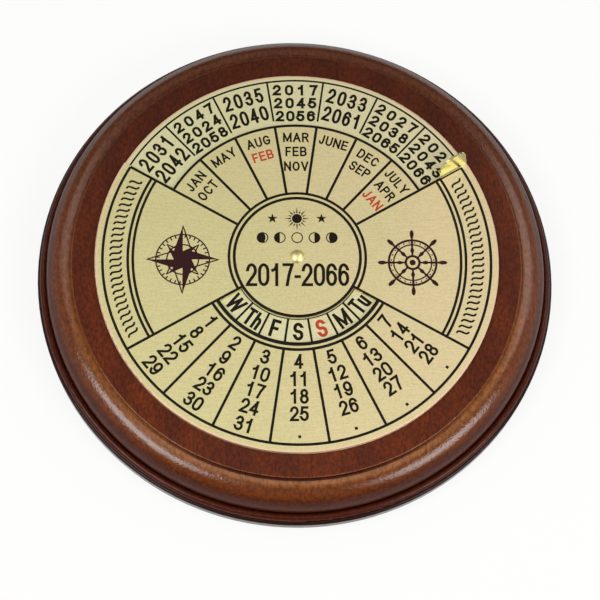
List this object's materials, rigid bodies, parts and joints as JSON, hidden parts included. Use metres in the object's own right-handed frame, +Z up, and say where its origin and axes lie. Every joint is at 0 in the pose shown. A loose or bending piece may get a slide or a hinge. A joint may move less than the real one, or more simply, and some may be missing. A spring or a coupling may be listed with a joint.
{
  "type": "perpetual desk calendar",
  "caption": "Round desk calendar: a pierced brass dial with a bent tab turns on a rivet over a fixed brass year disc on a moulded wooden base.",
  "frame": {"origin": "centre of the felt's underside, on the dial's turning axis", "axes": "+Z up along the rivet, +Y towards the middle of the open sector that shows the years, +X to the right when reading the dial"},
  "size_m": [0.13, 0.13, 0.0208],
  "materials": {
    "lacquered_wood": "stained and lacquered, satin gloss",
    "felt": "pressed wool felt",
    "tape": "double-sided tissue tape",
    "disc_brass": "fine brushed, lacquered",
    "dial_brass": "fine brushed, lacquered",
    "rivet_brass": "polished"
  },
  "bodies": {
    "base": {"wooden_base": "lacquered_wood", "base_felt": "felt", "tape_ring": "tape", "year_disc": "disc_brass", "rivet_burr": "rivet_brass", "spacer_washer": "rivet_brass", "pivot_rivet": "rivet_brass"},
    "dial": {"front_dial": "dial_brass"}
  },
  "joints": [
    {"name": "dial_turn", "type": "hinge", "parent": "base", "child": "dial", "pos_m": [0, 0, 0.0154], "axis": [0, 0, 1], "continuous": true}
  ]
}
